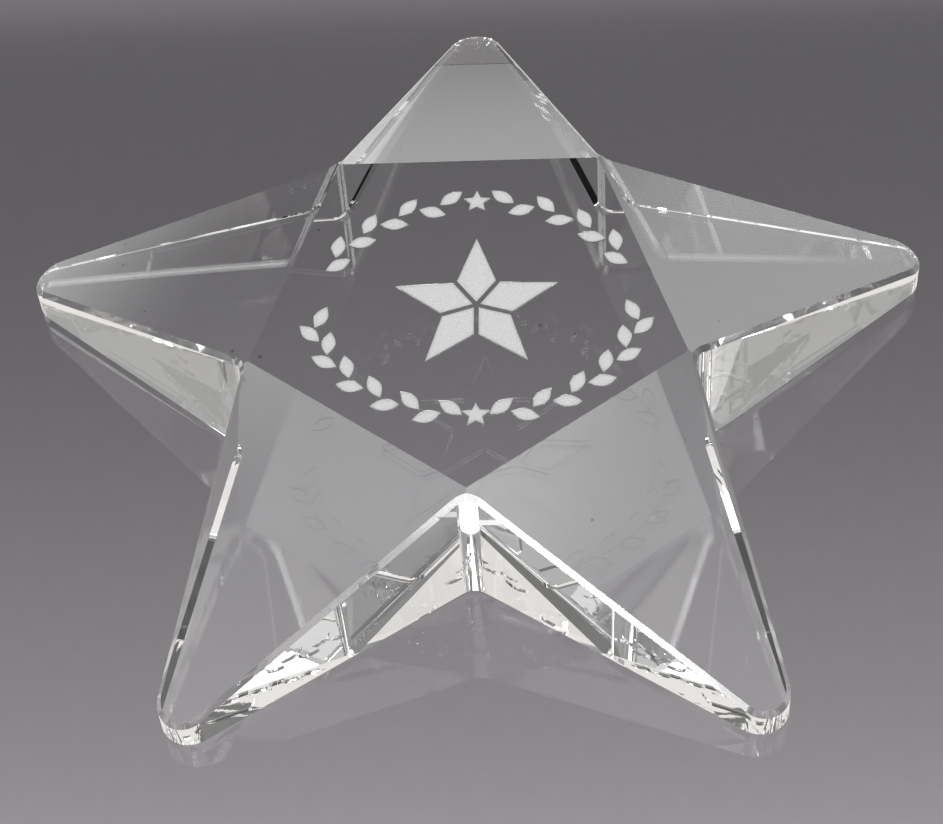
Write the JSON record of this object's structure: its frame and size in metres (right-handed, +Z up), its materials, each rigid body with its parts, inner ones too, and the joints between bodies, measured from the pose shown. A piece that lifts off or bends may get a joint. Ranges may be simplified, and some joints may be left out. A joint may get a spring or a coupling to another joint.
{
  "type": "star award",
  "caption": "Thick clear crystal star that lies flat, with a flat table, sloping points and a frosted wreath and star engraved on top.",
  "frame": {"origin": "middle of the star on its flat underside", "axes": "+Z up out of the table, +Y towards one point of the star, +X to the right as the engraving is read"},
  "size_m": [0.1, 0.0954, 0.018],
  "materials": {
    "optical_crystal": "polished clear optical crystal",
    "frosted_engraving": "frosted, etched white"
  },
  "bodies": {
    "root": {"crystal_star": "optical_crystal", "emblem_point_1": "frosted_engraving", "emblem_point_2": "frosted_engraving", "emblem_point_3": "frosted_engraving", "emblem_point_4": "frosted_engraving", "emblem_point_5": "frosted_engraving", "leaf_lower_left_01": "frosted_engraving", "leaf_lower_left_02": "frosted_engraving", "leaf_lower_left_03": "frosted_engraving", "leaf_lower_left_04": "frosted_engraving", "leaf_lower_left_05": "frosted_engraving", "leaf_lower_left_06": "frosted_engraving", "leaf_lower_left_07": "frosted_engraving", "leaf_lower_left_08": "frosted_engraving", "leaf_lower_left_09": "frosted_engraving", "leaf_lower_left_10": "frosted_engraving", "leaf_lower_left_11": "frosted_engraving", "leaf_lower_right_01": "frosted_engraving", "leaf_lower_right_02": "frosted_engraving", "leaf_lower_right_03": "frosted_engraving", "leaf_lower_right_04": "frosted_engraving", "leaf_lower_right_05": "frosted_engraving", "leaf_lower_right_06": "frosted_engraving", "leaf_lower_right_07": "frosted_engraving", "leaf_lower_right_08": "frosted_engraving", "leaf_lower_right_09": "frosted_engraving", "leaf_lower_right_10": "frosted_engraving", "leaf_lower_right_11": "frosted_engraving", "leaf_upper_left_01": "frosted_engraving", "leaf_upper_left_02": "frosted_engraving", "leaf_upper_left_03": "frosted_engraving", "leaf_upper_left_04": "frosted_engraving", "leaf_upper_left_05": "frosted_engraving", "leaf_upper_left_06": "frosted_engraving", "leaf_upper_left_07": "frosted_engraving", "leaf_upper_left_08": "frosted_engraving", "leaf_upper_right_01": "frosted_engraving", "leaf_upper_right_02": "frosted_engraving", "leaf_upper_right_03": "frosted_engraving", "leaf_upper_right_04": "frosted_engraving", "leaf_upper_right_05": "frosted_engraving", "leaf_upper_right_06": "frosted_engraving", "leaf_upper_right_07": "frosted_engraving", "leaf_upper_right_08": "frosted_engraving", "wreath_star_lower": "frosted_engraving", "wreath_star_upper": "frosted_engraving"}
  },
  "joints": []
}
